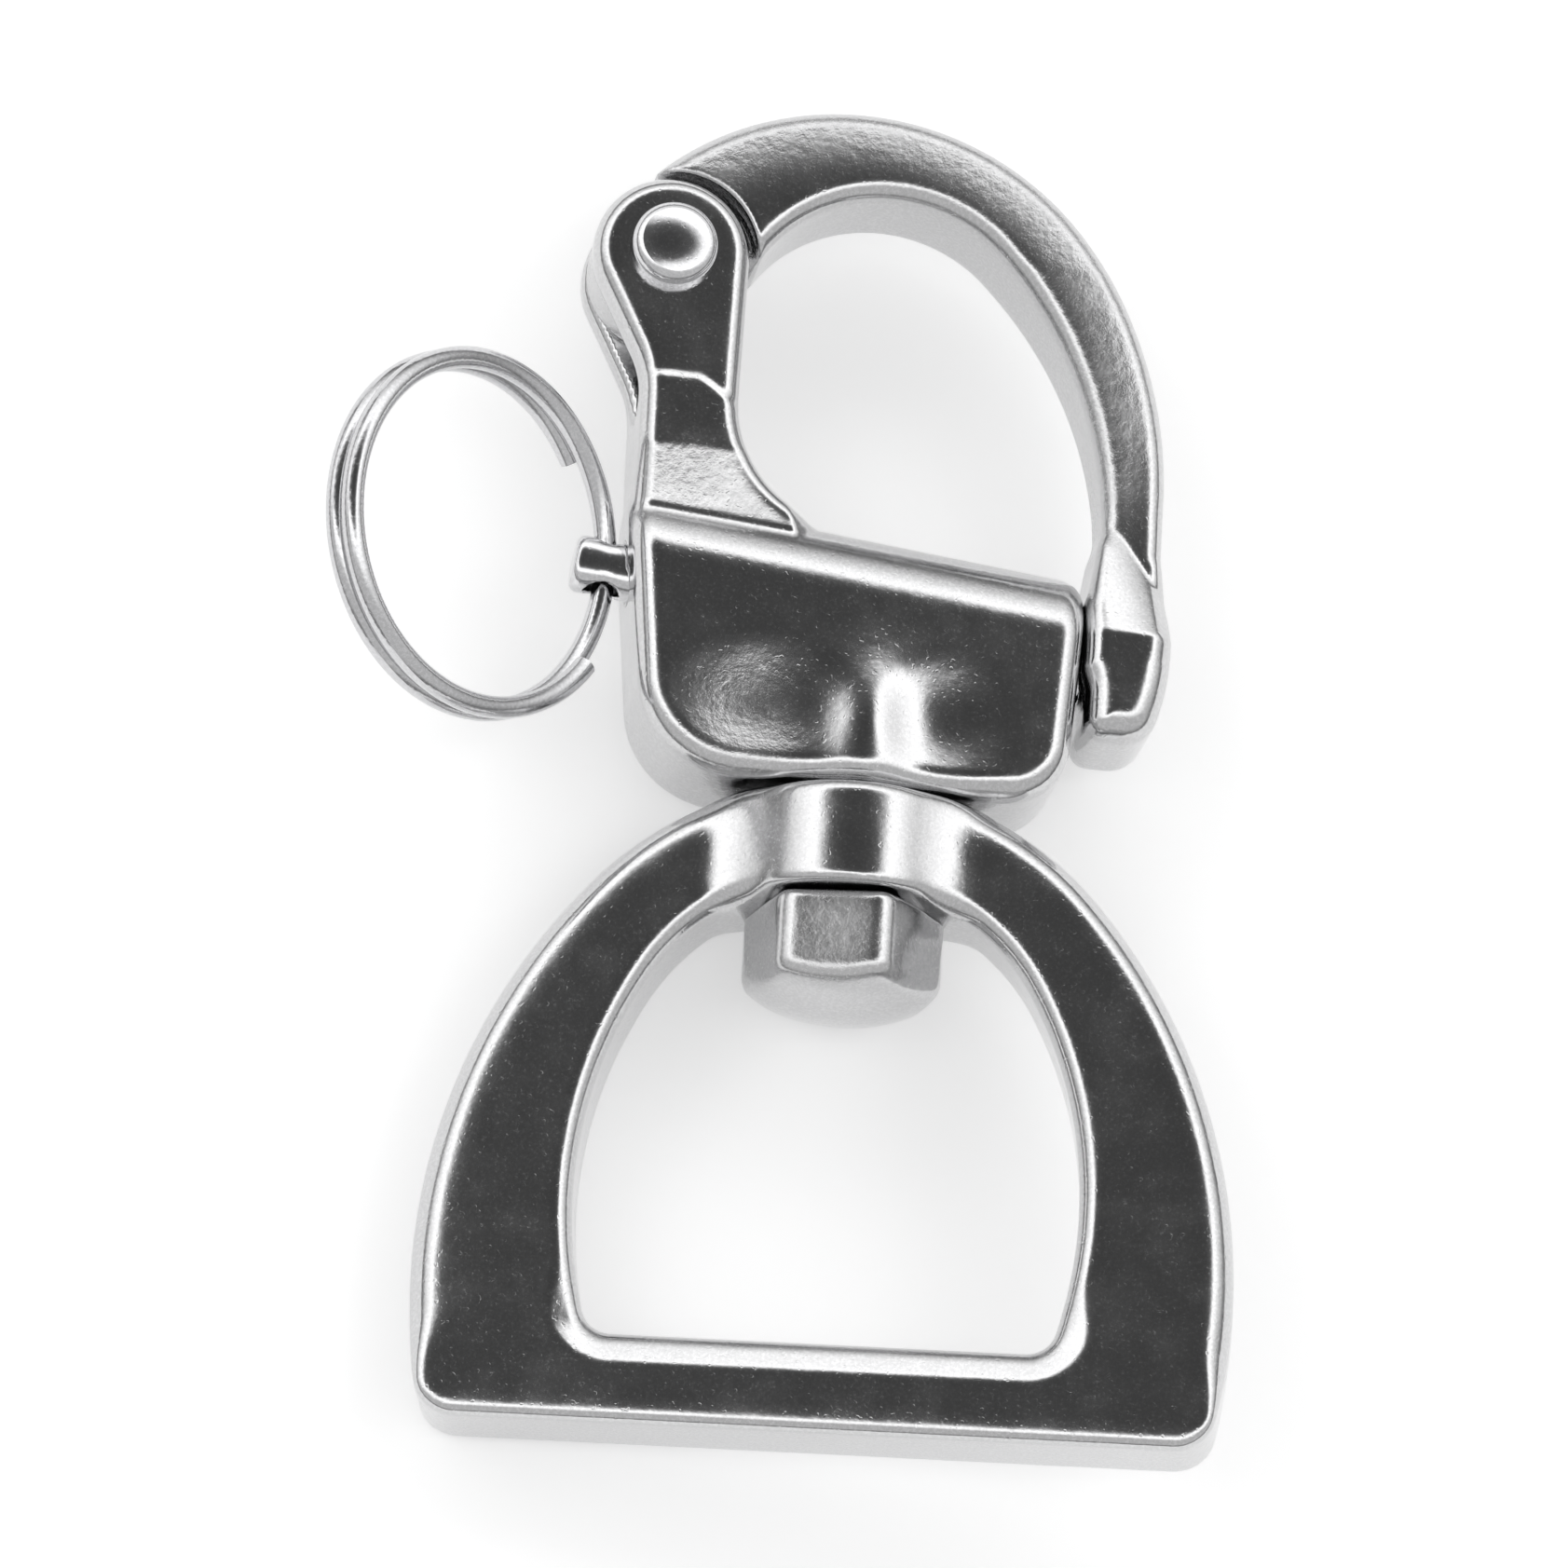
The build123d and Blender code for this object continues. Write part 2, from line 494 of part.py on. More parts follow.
with BuildPart() as gate:
    with BuildSketch() as hook_outline:
        with BuildLine():
            back = crown((CROWN_X, CROWN_Y), CROWN_RADIUS, CROWN_START, CROWN_TURN)
            outer_side = straighten(back, CROWN_TURN, GATE_OUTER_RIGHT)
            hollow_middle = (INNER_CROWN_X, INNER_CROWN_Y)
            inner_back = crown(hollow_middle, INNER_CROWN_RADIUS, INNER_CROWN_START, INNER_CROWN_TURN)
            inner_side = straighten(inner_back, INNER_CROWN_TURN, GATE_INNER_RIGHT)
            Polyline(
                outer_side @ 1,
                (GATE_OUTER_RIGHT, NOSE_SHOULDER_Y),
                (GATE_INNER_RIGHT, NOSE_SHOULDER_Y),
                inner_side @ 1,
            )
            Line(back @ 0, inner_back @ 0)
        make_face()
        # The nose closes against the end of the barrel.
        with BuildLine():
            Polyline(
                (nose_face, NOSE_HEEL_Y),
                (nose_face, NOSE_BOTTOM),
                (NOSE_OUTER - NOSE_TOE_INSET, NOSE_BOTTOM),
                (NOSE_OUTER, NOSE_TOE_Y),
                (NOSE_OUTER, NOSE_SHOULDER_Y),
                (GATE_OUTER_RIGHT, NOSE_TOP),
                (GATE_INNER_RIGHT, NOSE_TOP),
                close=True,
            )
        make_face()
        for soft_corner in (
            (nose_face, NOSE_HEEL_Y),
            (GATE_INNER_RIGHT, NOSE_TOP),
            (NOSE_OUTER, NOSE_SHOULDER_Y),
            (GATE_OUTER_RIGHT, NOSE_TOP),
        ):
            fillet(hook_outline.vertices().sort_by_distance(soft_corner)[0], NOSE_CORNER_RADIUS)
    extrude(amount=NOSE_HALF_THICKNESS, both=True)
    # Seen edge on, it is thinnest halfway down its limb and flares out to the nose.
    with BuildSketch(Plane.YZ) as edge_on:
        with BuildLine():
            Polyline(
                (gate_foot, 0),
                (gate_foot, NOSE_HALF_THICKNESS),
                (NOSE_FLARE_Y, NOSE_HALF_THICKNESS),
                (LIMB_THINNEST_Y, LIMB_HALF_THICKNESS),
                (FULL_THICKNESS_Y, GATE_HALF_THICKNESS),
                (gate_top, GATE_HALF_THICKNESS),
                (gate_top, 0),
            )
            mirror(about=Plane.XZ)
        make_face()
        fillet(edge_on.vertices().filter_by_position(Axis.X, NOSE_FLARE_Y, FULL_THICKNESS_Y), BEND_RADIUS)
    extrude(amount=2 * NOSE_OUTER, both=True, mode=Mode.INTERSECT)
    fillet(face_rims(gate, 0), GATE_ROUNDING)
    # The tongue is a thin round that turns between the ears.
    with BuildSketch(Plane.XY.offset(TONGUE_HALF_THICKNESS)):
        with Locations(pivot):
            Circle(EAR_RECESS_RADIUS)
    extrude(amount=NOSE_HALF_THICKNESS, mode=Mode.SUBTRACT)
    with BuildSketch(Plane.XY.offset(-TONGUE_HALF_THICKNESS)):
        with Locations(pivot):
            Circle(EAR_RECESS_RADIUS)
    extrude(amount=-NOSE_HALF_THICKNESS, mode=Mode.SUBTRACT)
    with BuildSketch():
        with Locations(pivot):
            Circle(EAR_RADIUS - TONGUE_INSET)
    extrude(amount=TONGUE_HALF_THICKNESS, both=True)
    with BuildSketch(Plane.XY.offset(-NOSE_HALF_THICKNESS)):
        with Locations(pivot):
            Circle(RIVET_RADIUS + RUNNING_CLEARANCE)
    extrude(amount=2 * NOSE_HALF_THICKNESS, mode=Mode.SUBTRACT)
    # A socket takes the plunger's tip. It is relieved along the swing, so the nose leaves it freely.
    socket_radius = TIP_RADIUS + SOCKET_CLEARANCE
    socket_floor = tip_end + SOCKET_SPARE
    with BuildSketch(across_barrel(socket_floor, -1)):
        Circle(socket_radius)
    extrude(amount=2 * TIP_ENGAGEMENT, mode=Mode.SUBTRACT)
    low_corner = barrel_point(socket_floor) - plunger_across * socket_radius
    arm_length = (low_corner - pivot).length
    exit_drop = sqrt(arm_length**2 - (nose_face - PIVOT_X) ** 2)
    exit_corner = Vector(nose_face, PIVOT_Y - exit_drop, 0)
    relief_half_width = socket_radius + SOCKET_CLEARANCE
    with BuildSketch():
        with BuildLine():
            RadiusArc(low_corner, exit_corner, arm_length)
            Polyline(
                exit_corner,
                (BODY_RIGHT, exit_corner.Y),
                barrel_point(BODY_RIGHT),
                barrel_point(socket_floor),
                low_corner,
            )
        make_face()
    extrude(amount=relief_half_width, both=True, mode=Mode.SUBTRACT)
save(gate, "gate")

# ---- plunger ---------------------------------------------------------------------------

with BuildPart() as plunger:
    with BuildSketch(across_barrel(shoulder_x)):
        Circle(PLUNGER_RADIUS)
    extrude(amount=(tip_start - shoulder_x) / cos(slant))
    with BuildSketch(across_barrel(tip_start)):
        Circle(TIP_RADIUS)
    extrude(amount=(tip_end - tip_start) / cos(slant))
    chamfer(plunger.edges().sort_by(Axis(barrel_point(0), plunger_line))[-1], TIP_CHAMFER)
    with BuildSketch(across_barrel(shoulder_x, -1)):
        Circle(TAIL_RADIUS)
    extrude(amount=(shoulder_x - tail_end) / cos(slant))
    for way in (-1, 1):
        with BuildSketch(across_barrel(tail_end)):
            with Locations((0, way * (TAIL_FLAT + TAIL_RADIUS))):
                Rectangle(4 * TAIL_RADIUS, 2 * TAIL_RADIUS)
        extrude(amount=TAIL_OVERHANG + FLAT_RUN, mode=Mode.SUBTRACT)
    with BuildSketch(Plane(origin=ring_hole, x_dir=plunger_line, z_dir=plunger_across)):
        Circle(RING_HOLE_RADIUS)
    extrude(amount=2 * TAIL_RADIUS, both=True, mode=Mode.SUBTRACT)
save(plunger, "plunger")

# ---- plunger spring --------------------------------------------------------------------

spring_length = SPRING_ROOM - SPRING_WIRE - 2 * RUNNING_CLEARANCE
spring_radius = (PLUNGER_RADIUS + TAIL_RADIUS) / 2
spring_foot = Plane(
    origin=barrel_point(bore_start) + plunger_line * (SPRING_WIRE / 2 + RUNNING_CLEARANCE),
    x_dir=plunger_across,
    z_dir=plunger_line,
)
spring_line = coil(spring_foot, spring_length / SPRING_TURNS, spring_length, spring_radius)
with BuildPart() as plunger_spring:
    with BuildSketch(Plane(origin=spring_line @ 0, z_dir=spring_line % 0)):
        Circle(SPRING_WIRE / 2)
    sweep(path=spring_line, is_frenet=True)
save(plunger_spring, "plunger_spring")

# ---- split ring ------------------------------------------------------------------------

ring_radius = RING_OUTER_RADIUS - RING_WIRE / 2
ring_pitch = RING_WIRE + RING_GAP
ring_length = ring_pitch * RING_TURNS
lift = radians(RING_LIFT)
straight_out = plunger_line * cos(lift) - Vector(0, 0, sin(lift))
ring_axis = straight_out.cross(plunger_across)
ring_out = straight_out.rotate(Axis((0, 0, 0), ring_axis), RING_DROOP)
before_hole = ring_pitch * (360 - RING_START) / 360
ring_start = Plane(
    origin=ring_hole - ring_out * ring_radius - ring_axis * before_hole,
    x_dir=ring_out.rotate(Axis((0, 0, 0), ring_axis), RING_START),
    z_dir=ring_axis,
)
ring_line = coil(ring_start, ring_pitch, ring_length, ring_radius)
with BuildPart() as split_ring:
    with BuildSketch(Plane(origin=ring_line @ 0, z_dir=ring_line % 0)):
        Circle(RING_WIRE / 2)
    sweep(path=ring_line, is_frenet=True)
save(split_ring, "split_ring")
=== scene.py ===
import json
import math

import bpy
import numpy as np
from mathutils import Matrix, Vector


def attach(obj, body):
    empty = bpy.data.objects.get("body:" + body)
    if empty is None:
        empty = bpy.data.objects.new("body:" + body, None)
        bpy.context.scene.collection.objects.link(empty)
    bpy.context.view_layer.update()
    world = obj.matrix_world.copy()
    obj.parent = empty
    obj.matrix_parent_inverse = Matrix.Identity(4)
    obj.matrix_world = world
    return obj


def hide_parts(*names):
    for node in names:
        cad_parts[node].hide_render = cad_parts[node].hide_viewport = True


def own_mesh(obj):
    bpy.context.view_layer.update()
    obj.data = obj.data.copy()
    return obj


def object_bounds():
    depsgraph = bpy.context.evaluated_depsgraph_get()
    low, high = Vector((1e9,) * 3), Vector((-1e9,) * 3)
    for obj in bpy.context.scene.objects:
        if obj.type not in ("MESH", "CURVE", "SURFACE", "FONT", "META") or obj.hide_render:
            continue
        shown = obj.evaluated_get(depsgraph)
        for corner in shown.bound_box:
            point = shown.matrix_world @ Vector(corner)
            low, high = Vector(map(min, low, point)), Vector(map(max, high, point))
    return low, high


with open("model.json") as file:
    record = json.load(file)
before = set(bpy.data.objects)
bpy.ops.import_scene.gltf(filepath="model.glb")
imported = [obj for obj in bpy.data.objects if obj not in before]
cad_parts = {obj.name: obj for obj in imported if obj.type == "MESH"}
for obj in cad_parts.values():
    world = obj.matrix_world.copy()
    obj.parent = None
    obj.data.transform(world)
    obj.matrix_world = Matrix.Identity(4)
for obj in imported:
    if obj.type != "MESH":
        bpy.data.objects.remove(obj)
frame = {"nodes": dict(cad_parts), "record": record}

# A snap shackle in polished cast stainless steel. The frame is in metres; the shapes here are
# worked out in millimetres, in the same frame, and turned into metres at the end.

cad_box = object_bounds()
MM = 0.001

# ---- dimensions, as in the CAD -----------------------------------------------------------

BAIL_TURN = -10.0
BAIL_HALF_THICKNESS = 3.7
HUB_TOP, HUB_BOTTOM, HUB_RADIUS = 37.4, 30.3, 7.4
SHANK_RADIUS, THREAD_RADIUS = 3.5, 3.0
BODY_BOTTOM, BODY_HALF = 37.7, 5.4
BODY_LEFT, BODY_RIGHT = -16.2, 14.4
LEAN_LEFT, LEAN_RIGHT = 6.0, 3.5
CORNER_LEFT, CORNER_RIGHT = 6.8, 4.4
BARREL_SLANT = 6.0
SLANT = math.radians(BARREL_SLANT)
AXIS_Y = 50.7
PIVOT = np.array([-14.95, 74.1])
EAR_RADIUS, EAR_FACE = 5.3, 5.0
NECK_LEFT, NECK_RIGHT, NECK_Y = -16.35, -9.75, 65.5
NECK_HALF = 5.15
SLOT_DEPTH, SLOT_HALF = 10.9, 2.3
TONGUE_RADIUS, TONGUE_HALF = 5.1, 2.1
TONGUE_RECESS = 5.9
CROWN_RADIUS, CROWN_CENTRE, CROWN_START, CROWN_TURN = 20.0, (-2.1, 65.95), 135, 51.3
HOOK_RADIUS, HOOK_CENTRE, HOOK_START, HOOK_TURN = 10.3, (0.1, 69.4), 150, 45
GATE_RIGHT, GATE_INSIDE = 19.75, 15.65
NOSE_FACE, NOSE_BOTTOM = BODY_RIGHT + 0.45, 42.9
PLUNGER_RADIUS, TIP_RADIUS, TAIL_RADIUS, TAIL_FLAT = 2.95, 2.2, 1.95, 1.7
# places along the barrel, from the outside of its closed end
TIP_START, TIP_END, TAIL_END = 29.96, 33.84, -3.62
RING_HOLE_RADIUS, RING_HOLE_INSET = 1.25, 1.4
BARREL_WALL = 3.0
SPRING_ROOM = 10.0
CLEARANCE = 0.05

along = np.array([math.cos(SLANT), -math.sin(SLANT)])
across = np.array([math.sin(SLANT), math.cos(SLANT)])


# ---- solids as fields: negative inside, distance to the surface in millimetres ------------


def both(a, b, r=0.0):
    """The solid common to two others, its new edge rounded to radius r."""
    a, b = a + r, b + r
    return np.minimum(np.maximum(a, b), 0) + np.hypot(np.maximum(a, 0), np.maximum(b, 0)) - r


def either(a, b, r=0.0):
    """Two solids as one, with a fillet of radius r between them."""
    return -both(-a, -b, r)


def without(a, b, r=0.0):
    """The first solid with the second cut out of it."""
    return both(a, -b, r)


def between(t, low, high):
    """0 below low, 1 above high, and a smooth rise between."""
    t = np.clip((t - low) / (high - low), 0, 1)
    return t * t * (3 - 2 * t)


class Pen:
    """An outline of lines and arcs; an arc starts where the last piece ended, in its direction."""

    def __init__(self, x, y, heading):
        self.points = [(x, y)]
        self.heading = math.radians(heading)

    def go(self, x, y):
        x0, y0 = self.points[-1]
        self.heading = math.atan2(y - y0, x - x0)
        self.points.append((x, y))
        return self

    def arc(self, radius, turn):
        """Turns left by this many degrees, or right if it is negative."""
        x0, y0 = self.points[-1]
        side = math.copysign(1, turn)
        cx = x0 - side * radius * math.sin(self.heading)
        cy = y0 + side * radius * math.cos(self.heading)
        steps = max(4, int(abs(math.radians(turn)) * radius / 0.35), int(abs(turn) / 4))
        for k in range(1, steps + 1):
            a = self.heading + math.radians(turn) * k / steps
            self.points.append((cx + side * radius * math.sin(a), cy - side * radius * math.cos(a)))
        self.heading += math.radians(turn)
        return self


def flat(points, x, y):
    """The field of a closed outline in the plane."""
    points = np.array(points)
    square = np.full(np.broadcast(x, y).shape, 1e9)
    inside = np.zeros(square.shape, bool)
    for (px, py), (qx, qy) in zip(points, np.roll(points, -1, axis=0)):
        ex, ey = qx - px, qy - py
        length = ex * ex + ey * ey
        if length < 1e-12:
            continue
        t = np.clip(((x - px) * ex + (y - py) * ey) / length, 0, 1)
        square = np.minimum(square, (x - px - t * ex) ** 2 + (y - py - t * ey) ** 2)
        if py != qy:
            inside ^= ((py > y) != (qy > y)) & (x < (qx - px) * (y - py) / (qy - py) + px)
    return np.where(inside, -1, 1) * np.sqrt(square)


def mirrored(points):
    """A right half that starts and ends at x = 0, made whole."""
    return points + [(-x, y) for x, y in reversed(points)]


def rod(x, y, z, start, radius, low, high, r=0.1):
    """A round rod in the barrel's direction, from low to high along it past the start point."""
    s = (x - start[0]) * along[0] + (y - start[1]) * along[1]
    v = (x - start[0]) * across[0] + (y - start[1]) * across[1]
    ends = np.maximum(low - s, s - high)
    return both(np.hypot(v, z) - radius, ends, r)


def barrel(x):
    """The point of the barrel's axis at this x."""
    return np.array([x, AXIS_Y - x * math.tan(SLANT)])


def skin(field, low, step):
    """The surface of a field on a grid: its points, quads and outward directions."""
    inside = field < 0
    cells = tuple(n - 1 for n in field.shape)
    size = cells[0] * cells[1] * cells[2]
    total = np.zeros((3, size))
    count = np.zeros(size)
    edges = []
    for axis in range(3):
        u, v = (axis + 1) % 3, (axis + 2) % 3
        here = [slice(None)] * 3
        there = [slice(None)] * 3
        here[axis], there[axis] = slice(None, -1), slice(1, None)
        a, b = field[tuple(here)], field[tuple(there)]
        crossed = inside[tuple(here)] != inside[tuple(there)]
        spot = np.argwhere(crossed)
        t = a[crossed] / (a[crossed] - b[crossed])
        place = spot.astype(float)
        place[:, axis] += t
        ring = []
        for du, dv in ((-1, -1), (0, -1), (0, 0), (-1, 0)):
            cell = spot.copy()
            cell[:, u] += du
            cell[:, v] += dv
            flat_index = np.ravel_multi_index(tuple(cell.T), cells, mode="clip")
            ring.append(flat_index)
            count += np.bincount(flat_index, minlength=size)
            for k in range(3):
                total[k] += np.bincount(flat_index, weights=place[:, k], minlength=size)
        ring = np.stack(ring, 1)
        backward = ~inside[tuple(here)][crossed]
        ring[backward] = ring[backward][:, ::-1]
        edges.append(ring)
    used = np.flatnonzero(count)
    number = np.full(size, -1)
    number[used] = np.arange(len(used))
    points = (total[:, used] / count[used]).T
    slopes = np.gradient(field)
    for _ in range(2):
        value = sample(field, points)
        normal = np.stack([sample(s, points) for s in slopes], 1)
        square = (normal**2).sum(1)
        points -= np.clip(value / np.maximum(square, 1e-9), -0.5, 0.5)[:, None] * normal
    normal = np.stack([sample(s, points) for s in slopes], 1)
    normal /= np.linalg.norm(normal, axis=1)[:, None]
    return np.array(low) + points * step, number[np.concatenate(edges)], normal


def sample(field, points):
    """The field between grid points."""
    base = np.clip(np.floor(points).astype(int), 0, np.array(field.shape) - 2)
    f = points - base
    result = 0
    for corner in np.ndindex(2, 2, 2):
        weight = np.prod(np.where(corner, f, 1 - f), axis=1)
        result = result + weight * field[tuple((base + corner).T)]
    return result


def cast(name, node, solid, low, high, step, material, turn=0.0):
    """Makes the piece that stands for a CAD node, from a field over a box."""
    axes = [np.arange(a, b + step, step) for a, b in zip(low, high)]
    field = solid(*np.meshgrid(*axes, indexing="ij", sparse=True))
    points, quads, normals = skin(np.ascontiguousarray(field), low, step)
    if turn:
        spin = np.array(Matrix.Rotation(math.radians(turn), 3, "Y"))
        points, normals = points @ spin.T, normals @ spin.T
    mesh = bpy.data.meshes.new(name)
    mesh.from_pydata((points * MM).tolist(), [], quads.tolist())
    mesh.validate()
    mesh.shade_smooth()
    mesh.normals_split_custom_set_from_vertices(normals.tolist())
    mesh.materials.append(material)
    piece = bpy.data.objects.new(name, mesh)
    bpy.context.collection.objects.link(piece)
    stand_for(piece, node)


def stand_for(piece, node):
    """The piece takes a CAD node's place: shown for it and moved with its body."""
    record = frame["record"]
    bodies = record["behaviour"]["bodies"].items()
    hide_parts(node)
    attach(piece, next(body for body, nodes in bodies if node in nodes))


# ---- the cast pieces ----------------------------------------------------------------------


def half_d(foot, widest, half_width, radius, turn, corner):
    """The right half of a D: flat foot, rounded corner, leaning side and round crown."""
    lift = 0.0
    for _ in range(20):
        lean = math.asin((widest - foot - lift) / radius)
        lift = corner * (1 - math.sin(lean))
    side_x = half_width - radius * (1 - math.cos(lean))
    pen = Pen(0, foot, 0).go(side_x - corner * math.cos(lean), foot)
    pen.arc(corner, 90 - math.degrees(lean)).arc(radius, math.degrees(lean) + turn)
    pen.arc(pen.points[-1][0] / math.cos(math.radians(turn)), 90 - turn)
    return pen.points


def bail_solid(x, y, z):
    x2, y2 = x[:, :, 0], y[:, :, 0]
    outside = half_d(foot=-6.2, widest=4.0, half_width=27.05, radius=41.0, turn=42.0, corner=2.8)
    opening = half_d(foot=0.0, widest=9.5, half_width=16.65, radius=30.0, turn=30.0, corner=2.0)
    outer = flat(mirrored(outside), x2, y2)[:, :, None]
    inner = flat(mirrored(opening), x2, y2)[:, :, None]
    # the faces fall away softly to the outer rim, and by a bevel to the inner one that is
    # widest on the crossbar
    rim = between(y, -5.5, 1.0)
    crown = 0.075 * np.maximum(3.0 * rim + outer, 0) ** 2
    bevel = 0.36 * np.maximum(2.3 - 1.2 * between(y, 0.0, 5.0) - inner, 0)
    foot = 0.09 * np.maximum(-4.7 - y, 0)
    slab = np.abs(z) - BAIL_HALF_THICKNESS
    loop = both(outer, slab + crown + foot, 0.7 + 0.9 * rim)
    loop = both(loop, both(-inner, slab + bevel, 0.9))
    radius = np.hypot(x, z)
    hub = both(radius - HUB_RADIUS, np.maximum(HUB_BOTTOM - y, y - HUB_TOP - 0.6), 0.5)
    solid = either(loop, hub, 3.0)
    solid = both(solid, y - HUB_TOP, 0.9)
    bore = both(radius - SHANK_RADIUS - CLEARANCE, HUB_BOTTOM - 3 - y)
    return without(solid, bore, 0.3)


def arm_outline():
    """The arm and its ear, seen from the front, down to the barrel's axis."""
    neck_left = np.array([NECK_LEFT, NECK_Y])
    reach = PIVOT - neck_left
    spread = math.degrees(math.asin(EAR_RADIUS / np.linalg.norm(reach)))
    up_left = math.degrees(math.atan2(reach[1], reach[0])) + spread
    neck_right = np.array([NECK_RIGHT, NECK_Y])
    reach = PIVOT - neck_right
    spread = math.degrees(math.asin(EAR_RADIUS / np.linalg.norm(reach)))
    up_right = math.degrees(math.atan2(reach[1], reach[0])) - spread
    bend = up_left - 90.35
    bend_radius = 7.0
    setback = bend_radius * math.tan(math.radians(bend / 2))
    foot = barrel(BODY_LEFT)
    pen = Pen(foot[0], foot[1], 90).go(neck_left[0], neck_left[1] - setback)
    pen.arc(bend_radius, bend)
    start = math.radians(up_left + 90)
    pen.go(PIVOT[0] + EAR_RADIUS * math.cos(start), PIVOT[1] + EAR_RADIUS * math.sin(start))
    pen.arc(EAR_RADIUS, -(180 + up_left - up_right))
    pen.go(neck_right[0], neck_right[1])
    pen.go(neck_right[0], 63.8)
    pen.arc(7.4, 90 - BARREL_SLANT)
    end = pen.points[-1]
    pen.go(end[0], barrel(end[0])[1])
    return pen.points


def body_solid(x, y, z):
    x2, y2 = x[:, :, 0], y[:, :, 0]
    top = AXIS_Y + 20
    lean_left, lean_right = math.radians(LEAN_LEFT), math.radians(LEAN_RIGHT)

    def left(height):
        return BODY_LEFT - (height - barrel(BODY_LEFT)[1]) * math.tan(lean_left)

    def right(height):
        return BODY_RIGHT + (height - barrel(BODY_RIGHT)[1]) * math.tan(lean_right)

    # the block's outline: leaning sides and two rounded lower corners
    cut_left = CORNER_LEFT * math.tan(math.radians((90 - LEAN_LEFT) / 2))
    cut_right = CORNER_RIGHT * math.tan(math.radians((90 - LEAN_RIGHT) / 2))
    pen = Pen(left(top), top, -90)
    pen.go(
        left(BODY_BOTTOM) - cut_left * math.sin(lean_left),
        BODY_BOTTOM + cut_left * math.cos(lean_left),
    )
    pen.arc(CORNER_LEFT, 90 - LEAN_LEFT)
    pen.go(right(BODY_BOTTOM) - cut_right, BODY_BOTTOM)
    pen.arc(CORNER_RIGHT, 90 - LEAN_RIGHT)
    pen.go(right(top), top)
    outline = flat(pen.points, x2, y2)[:, :, None]
    v = x * across[0] + (y - AXIS_Y) * across[1]
    # a boss for the bolt swells out of the faces, with a shallow hollow on each side
    boss_height, boss_width = 0.8, 2.4
    relief = boss_height * np.exp(-((x / boss_width) ** 2)) * (1 - between(y, 41.5, 49.5))
    hollow_depth, hollow_y, hollow_rise = 0.6, 42.6, 5.4
    for hollow_x, width in ((-6.9, 7.2), (5.4, 5.6)):
        spread = ((x - hollow_x) / width) ** 2 + ((y - hollow_y) / hollow_rise) ** 2
        relief = relief - hollow_depth * np.clip(1 - spread, 0, 1) ** 2
    round_top = np.where(v > 0, np.hypot(v, z), np.abs(z)) - BODY_HALF - relief
    solid = both(outline, round_top, 1.7)
    # the arm swells out of the barrel and narrows away along the barrel's crest
    limb = flat(arm_outline(), x2, y2)[:, :, None]
    step = NECK_Y - 0.4 - 1.7 * between(x, -13.0, -9.6)
    half = np.interp(y, (54.8, 60.2), (3.9, NECK_HALF))
    half = half - (NECK_HALF - EAR_FACE) * between(y, step - 0.4, step + 0.4)
    foot = np.sqrt(np.clip(1 - (np.maximum(x - NECK_RIGHT, 0) / 6.4) ** 2, 0, 1)) * BODY_HALF
    half = np.where(y < 66, np.minimum(half, foot + 0.02), half)
    rim = 0.07 * np.maximum(1.6 + limb, 0) ** 2
    limb = both(limb, np.abs(z) - half + rim, 1.2)
    solid = either(solid, limb, 0.4)
    # slot, bores and the rivet's hole
    slot_end = PIVOT[1] - SLOT_DEPTH + SLOT_HALF
    slot = np.hypot(z, np.minimum(y - slot_end, 0)) - SLOT_HALF
    slot = both(slot, np.maximum(x - PIVOT[0] - 12, 0) + (y * 0), 0)
    solid = without(solid, slot, 0.35)
    wall = barrel(BODY_LEFT)
    bore = rod(x, y, z, wall, PLUNGER_RADIUS + CLEARANCE, BARREL_WALL, 60)
    solid = without(solid, bore, 0.2)
    tail_bore = rod(x, y, z, wall, TAIL_RADIUS + CLEARANCE, -20, 10)
    solid = without(solid, tail_bore, 0.2)
    solid = without(solid, np.hypot(x - PIVOT[0], y - PIVOT[1]) - 2.01 + z * 0)
    return without(solid, both(np.hypot(x, z) - 3.01, y - BODY_BOTTOM - 6.9))


def crown_curve(radius, centre, start, turn, side):
    """An arc over the gate's top from this angle, easing into an upright side at this x."""
    angle = math.radians(start)
    x, y = centre[0] + radius * math.cos(angle), centre[1] + radius * math.sin(angle)
    pen = Pen(x, y, start - 90)
    pen.arc(radius, -(start - 90 + turn))
    easing = (side - pen.points[-1][0]) / (1 - math.sin(math.radians(turn)))
    return pen.arc(easing, -(90 - turn))


